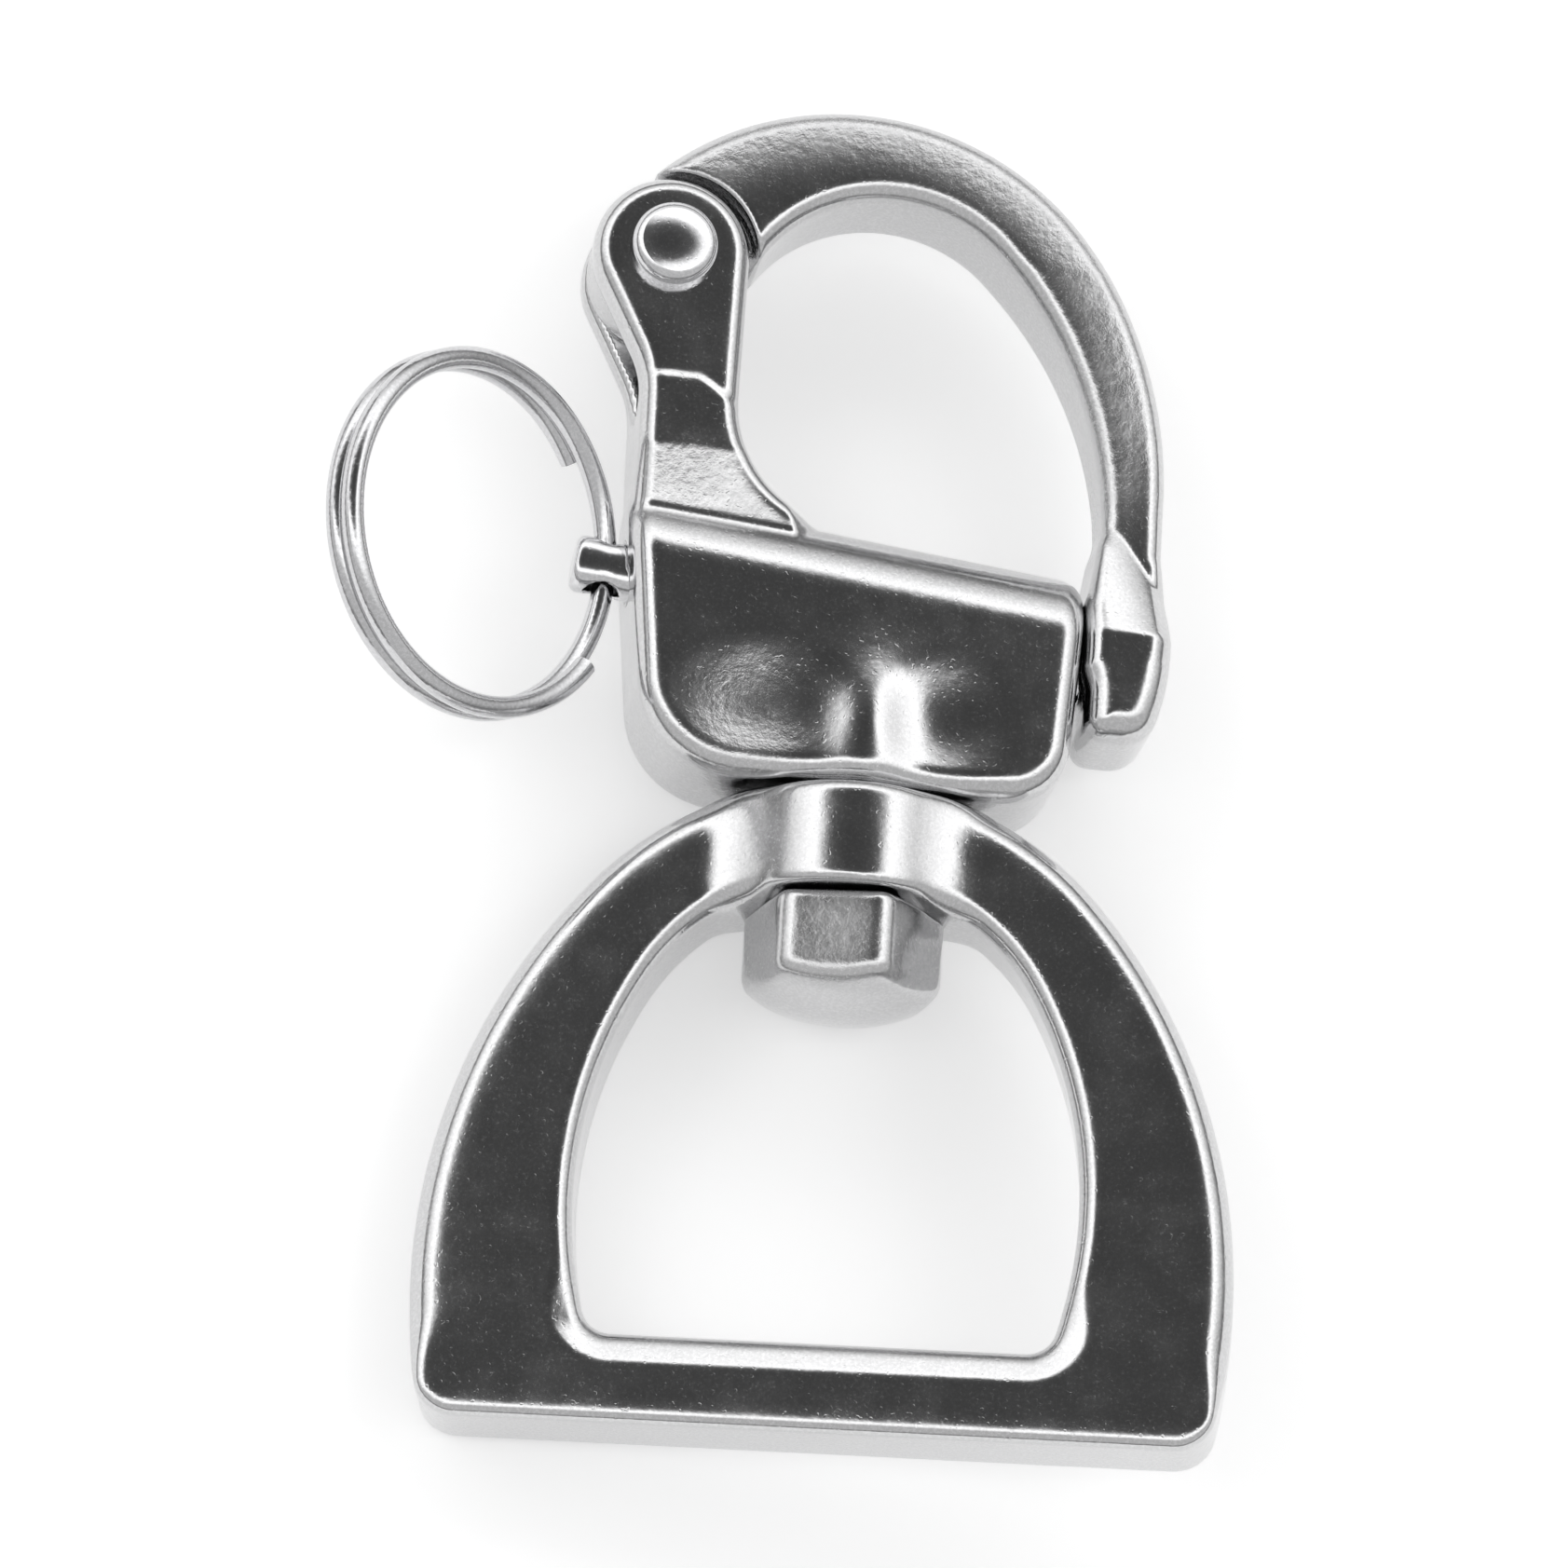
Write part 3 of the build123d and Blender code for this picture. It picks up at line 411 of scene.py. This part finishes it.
def gate_solid(x, y, z):
    x2, y2 = x[:, :, 0], y[:, :, 0]
    back = crown_curve(CROWN_RADIUS, CROWN_CENTRE, CROWN_START, CROWN_TURN, GATE_RIGHT)
    back.go(GATE_RIGHT, 56.0)
    hook = crown_curve(HOOK_RADIUS, HOOK_CENTRE, HOOK_START, HOOK_TURN, GATE_INSIDE)
    hook.go(GATE_INSIDE, 54.0)
    jaw = flat(back.points + [(19.9, 48.0), (15.2, 48.0)] + hook.points[::-1], x2, y2)
    nose_pen = Pen(NOSE_FACE, 52.5, -90).go(NOSE_FACE, NOSE_BOTTOM + 1.4)
    nose_pen.arc(1.4, 90).go(17.5, NOSE_BOTTOM).arc(2.4, 72).arc(16.0, 26)
    nose_pen.go(GATE_RIGHT, 56.5).go(16.0, 56.5)
    nose = flat(nose_pen.points, x2, y2)
    plan = either(jaw, nose, 2.0 - 2.0 * between(x2, 16.0, 18.0))[:, :, None]
    # a fan of straight lines runs from the thick nose into the limb, steepest on the outside
    flare = (y - 50.2) / (9.6 - 1.4 * np.clip(x - 15.2, 0, 4.6))
    half = np.interp(y, (59.8, 76.0), (3.05, 4.2)) + 1.85 * (1 - np.clip(flare, 0, 1))
    # the face falls away softly from the middle of the limb to its outer rim
    rim = flat([(-56, 40)] + back.points + [(GATE_RIGHT, 10), (-56, 10)], x2, y2)[:, :, None]
    crown = 0.029 * np.maximum(4.4 + rim, 0) ** 2 * between(y, 54.0, 72.0)
    solid = both(plan, np.abs(z) - half + crown, 1.3 + 0.8 * (1 - between(y, 48.0, 56.0)))
    far = np.hypot(x - PIVOT[0], y - PIVOT[1])
    groove = both(far - TONGUE_RECESS, TONGUE_HALF - np.abs(z))
    solid = without(solid, groove, 0.3)
    tongue = both(far - TONGUE_RADIUS, np.abs(z) - TONGUE_HALF, 0.3)
    solid = either(solid, tongue)
    solid = without(solid, far - 2.05 + z * 0)
    socket = rod(x, y, z, barrel(NOSE_FACE), 2.35, -3, 2.9)
    return without(solid, socket, 0.2)


def bolt_solid(x, y, z):
    top = HUB_BOTTOM - 0.15
    flat_half, head_height, dome_radius = 6.0, 7.5, 12.0
    hexagon = None
    for angle in (-14.0, 46.0, 106.0):
        sine, cosine = math.sin(math.radians(angle)), math.cos(math.radians(angle))
        pair = np.abs(x * sine + z * cosine) - flat_half
        hexagon = pair if hexagon is None else both(hexagon, pair, 0.8)
    dome = np.sqrt(x**2 + (y - (top - head_height + dome_radius)) ** 2 + z**2) - dome_radius
    head = both(both(hexagon, dome, 0.6), y - top, 0.7)
    radius = np.hypot(x, z)
    shank = both(radius - SHANK_RADIUS, np.maximum(top - 2 - y, y - BODY_BOTTOM))
    thread = both(radius - THREAD_RADIUS, np.maximum(top - 2 - y, y - BODY_BOTTOM - 6.5), 0.4)
    return either(either(head, shank), thread)


def plunger_solid(x, y, z):
    wall = barrel(BODY_LEFT)
    shoulder = BARREL_WALL + SPRING_ROOM
    thick = rod(x, y, z, wall, PLUNGER_RADIUS, shoulder, TIP_START)
    tip = rod(x, y, z, wall, TIP_RADIUS, 29.0, TIP_END, 0.6)
    tail = rod(x, y, z, wall, TAIL_RADIUS, TAIL_END, BARREL_WALL + 10.5, 0.6)
    # two flats on the tail, and the ring's hole between them
    s = (x - wall[0]) * along[0] + (y - wall[1]) * along[1]
    tail = both(tail, np.minimum(np.abs(z) - TAIL_FLAT, 0.8 - s), 0.45)
    tail = without(tail, np.hypot(s + RING_HOLE_INSET, z) - RING_HOLE_RADIUS, 0.15)
    return either(either(thick, tip), tail)


# ---- materials ----------------------------------------------------------------------------


def node(tree, kind, inputs=(), **settings):
    """A shader node with settings, and inputs that are values or other nodes' sockets."""
    made = tree.nodes.new(kind)
    for key, value in settings.items():
        setattr(made, key, value)
    for key, value in dict(inputs).items():
        if isinstance(value, bpy.types.NodeSocket):
            tree.links.new(value, made.inputs[key])
        else:
            made.inputs[key].default_value = value
    return made


def arithmetic(tree, operation, *values):
    """One sum on sockets and numbers."""
    return node(tree, "ShaderNodeMath", dict(enumerate(values)), operation=operation).outputs[0]


def ramp(tree, value, low, high, to_low, to_high):
    """Maps a range of a socket's value to another, smoothly."""
    made = node(tree, "ShaderNodeMapRange", {0: value, 1: low, 2: high, 3: to_low, 4: to_high})
    made.interpolation_type = "SMOOTHSTEP"
    return made.outputs[0]


def steel(name, color, smooth, rough, grain, patches=()):
    """Polished stainless: orange peel, fine pits, and mottled patches of the casting's own skin.

    A patch is a centre, a radius and a half width in mm: a ball if the radius is 0, or a shell.
    """
    made = bpy.data.materials.new(name)
    made.use_nodes = True
    tree = made.node_tree
    shader = tree.nodes["Principled BSDF"]
    shader.inputs["Metallic"].default_value = 1.0
    place = node(tree, "ShaderNodeTexCoord").outputs["Object"]

    def noise(scale, detail, roughness):
        inputs = {"Vector": place, "Scale": scale, "Detail": detail, "Roughness": roughness}
        return node(tree, "ShaderNodeTexNoise", inputs).outputs[0]

    def maths(operation, *values):
        return arithmetic(tree, operation, *values)

    cloud = noise(260.0, 4.0, 0.6)
    peel = noise(700.0, 2.0, 0.5)
    mottle = noise(1500.0, 4.0, 0.62)
    fine = noise(4200.0, 3.0, 0.7)
    base = ramp(tree, cloud, 0.35, 0.7, smooth, smooth * 1.7)
    worn = maths("ADD", base, ramp(tree, fine, 0.58, 0.72, 0.0, 0.10))
    height = maths("MULTIPLY_ADD", fine, 0.10, maths("MULTIPLY", peel, 0.9))
    height = maths("MULTIPLY_ADD", mottle, 0.34, height)
    pits = ramp(tree, noise(3000.0, 1.0, 0.4), 0.64, 0.74, 0.0, 1.0)
    height = maths("MULTIPLY_ADD", pits, -0.24, height)
    patch = None
    for centre, radius, half in patches:
        spot = {0: place, 1: [c * MM for c in centre]}
        gap = node(tree, "ShaderNodeVectorMath", spot, operation="DISTANCE").outputs["Value"]
        gap = maths("ABSOLUTE", maths("SUBTRACT", gap, radius * MM))
        ragged = maths("MULTIPLY_ADD", cloud, 3 * MM, gap)
        mask = ramp(tree, ragged, (half + 0.4) * MM, (half + 4.0) * MM, 1.0, 0.0)
        patch = mask if patch is None else maths("MAXIMUM", patch, mask)
    if patch is not None:
        worn = maths("MULTIPLY_ADD", patch, rough, worn)
        height = maths("ADD", height, maths("MULTIPLY", maths("MULTIPLY", patch, 2.2), mottle))
    tree.links.new(worn, shader.inputs["Roughness"])
    blend = {"Factor": ramp(tree, fine, 0.4, 0.7, 0.0, 1.0)}
    tint = node(tree, "ShaderNodeMix", blend, data_type="RGBA")
    tint.inputs["A"].default_value = (*[c * 0.94 for c in color], 1)
    tint.inputs["B"].default_value = (*[c * 1.08 for c in color], 1)
    tree.links.new(tint.outputs["Result"], shader.inputs["Base Color"])
    relief = {"Height": height, "Distance": 0.04 * MM, "Strength": grain}
    bump = node(tree, "ShaderNodeBump", relief)
    tree.links.new(bump.outputs[0], shader.inputs["Normal"])
    return made


CAST = (0.62, 0.62, 0.625)
bail_steel = steel("bail_steel", CAST, 0.10, 0.1, 0.5)
body_patches = [((-13, 58.5, 5.2), 0, 1.4), ((-8, 41.5, 5.4), 0, 2.8)]
body_steel = steel("body_steel", CAST, 0.10, 0.12, 0.5, body_patches)
gate_steel = steel("gate_steel", CAST, 0.10, 0.14, 0.5, [((-2.1, 66.0, 0), 18.4, 1.7)])
bolt_steel = steel("bolt_steel", CAST, 0.13, 0.14, 0.5, [((-1.5, 27, 6), 0, 2.4)])
turned_steel = steel("turned_steel", (0.68, 0.68, 0.69), 0.08, 0.1, 0.2)
wire_steel = steel("wire_steel", (0.64, 0.64, 0.65), 0.12, 0.1, 0.2)

# each piece is worked out on a grid over its own box, with this spacing in millimetres
low, high = (-28.2, -7.4, -8.4), (28.2, 38.6, 8.4)
cast("bail_loop", "bail", bail_solid, low, high, 0.3, bail_steel, BAIL_TURN)
low, high = (-21.5, 36.6, -7.4), (16.2, 80.6, 7.4)
cast("body_casting", "body", body_solid, low, high, 0.22, body_steel)
low, high = (-21.2, 41.8, -5.8), (21.8, 87.2, 5.8)
cast("gate_jaw", "gate", gate_solid, low, high, 0.22, gate_steel)
low, high = (-20.5, 45.1, -3.4), (18.4, 56.6, 3.4)
cast("plunger_pin", "plunger", plunger_solid, low, high, 0.15, turned_steel)
low, high = (-7.6, 21.8, -7.6), (7.6, 45.0, 7.6)
cast("bolt", "swivel_bolt", bolt_solid, low, high, 0.22, bolt_steel)

# the rivet, the spring and the ring keep the CAD's meshes
for name, material in (
    ("gate_rivet", turned_steel),
    ("plunger_spring", wire_steel),
    ("split_ring", wire_steel),
):
    shown = frame["nodes"][name]
    shown.data.materials.clear()
    shown.data.materials.append(material)

# a copy of the spring's own mesh stands for the spring and moves with its body
coil = frame["nodes"]["plunger_spring"]
squeezed = bpy.data.objects.new("spring_coil", coil.data.copy())
bpy.context.collection.objects.link(squeezed)
squeezed.matrix_world = coil.matrix_world
stand_for(squeezed, "plunger_spring")
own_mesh(squeezed)

# ---- floor, light and camera ----------------------------------------------------------------

floor_height = cad_box[0].z - 0.2 * MM
bpy.ops.mesh.primitive_plane_add(size=3.0, location=(0, 0, floor_height))
floor = bpy.context.object
floor.name = "floor"
paper = bpy.data.materials.new("paper")
paper.use_nodes = True
shader = paper.node_tree.nodes["Principled BSDF"]
shader.inputs["Base Color"].default_value = (0.92, 0.92, 0.92, 1)
shader.inputs["Roughness"].default_value = 0.9
shader.inputs["Emission Color"].default_value = (1, 1, 1, 1)
shader.inputs["Emission Strength"].default_value = 0.3
floor.data.materials.append(paper)

# a soft bright ring of light round a dark middle, which the flat faces mirror to the camera
RING_HALF = (0.50, 0.36)
RING_CENTRE = (-0.04, 0.27)

world = bpy.data.worlds.new("studio")
world.use_nodes = True
bpy.context.scene.world = world
tree = world.node_tree
sky = node(tree, "ShaderNodeTexCoord").outputs["Generated"]
axes = node(tree, "ShaderNodeSeparateXYZ", {0: sky})
part_x, part_y = (
    arithmetic(tree, "MULTIPLY_ADD", axes.outputs[axis], 1 / half, -centre / half)
    for axis, half, centre in zip("XY", RING_HALF, RING_CENTRE)
)
square_x = arithmetic(tree, "MULTIPLY", part_x, part_x)
reach = arithmetic(tree, "MULTIPLY_ADD", part_y, part_y, square_x)
middle = ramp(tree, reach, 0.0, 0.9, 0.07, 0.15)
edge = arithmetic(tree, "ADD", middle, ramp(tree, reach, 0.6, 1.5, 0.0, 1.62))
fade = ramp(tree, reach, 1.4, 4.2, 1.0, 0.38)
horizon = ramp(tree, axes.outputs["Z"], 0.02, 0.34, 0.28, 1.0)
glow = arithmetic(tree, "MULTIPLY", edge, fade)
glow = arithmetic(tree, "MULTIPLY", glow, horizon)
backdrop = tree.nodes["Background"]
tree.links.new(glow, backdrop.inputs["Strength"])
backdrop.inputs["Color"].default_value = (1, 1, 1, 1)

AZIMUTH, ELEVATION, ROLL = (math.radians(v) for v in (-21.0, 71.0, 25.68))
TARGET = Vector((-4.61, 38.74, 0)) * MM
DISTANCE = 0.683
# the lens that shows a millimetre at the target as 16.077 pixels of the photo's 1683
SENSOR, PIXELS_PER_MM, PHOTO_PIXELS = 36.0, 16.077, 1683
LENS = SENSOR * PIXELS_PER_MM * (DISTANCE / MM) / PHOTO_PIXELS
back = Vector((
    math.sin(AZIMUTH) * math.cos(ELEVATION),
    -math.cos(AZIMUTH) * math.cos(ELEVATION),
    math.sin(ELEVATION),
))
right = Vector((0, 0, 1)).cross(back).normalized()
up = back.cross(right)
right, up = (
    right * math.cos(ROLL) + up * math.sin(ROLL),
    up * math.cos(ROLL) - right * math.sin(ROLL),
)
camera = bpy.data.objects.new("camera", bpy.data.cameras.new("camera"))
bpy.context.collection.objects.link(camera)
camera.data.lens = LENS
camera.data.clip_start = 0.01
camera.data.clip_end = 10
turn = Matrix((right, up, back)).transposed().to_4x4()
camera.matrix_world = Matrix.Translation(TARGET + back * DISTANCE) @ turn
bpy.context.scene.camera = camera
bpy.context.scene.view_settings.view_transform = "Standard"
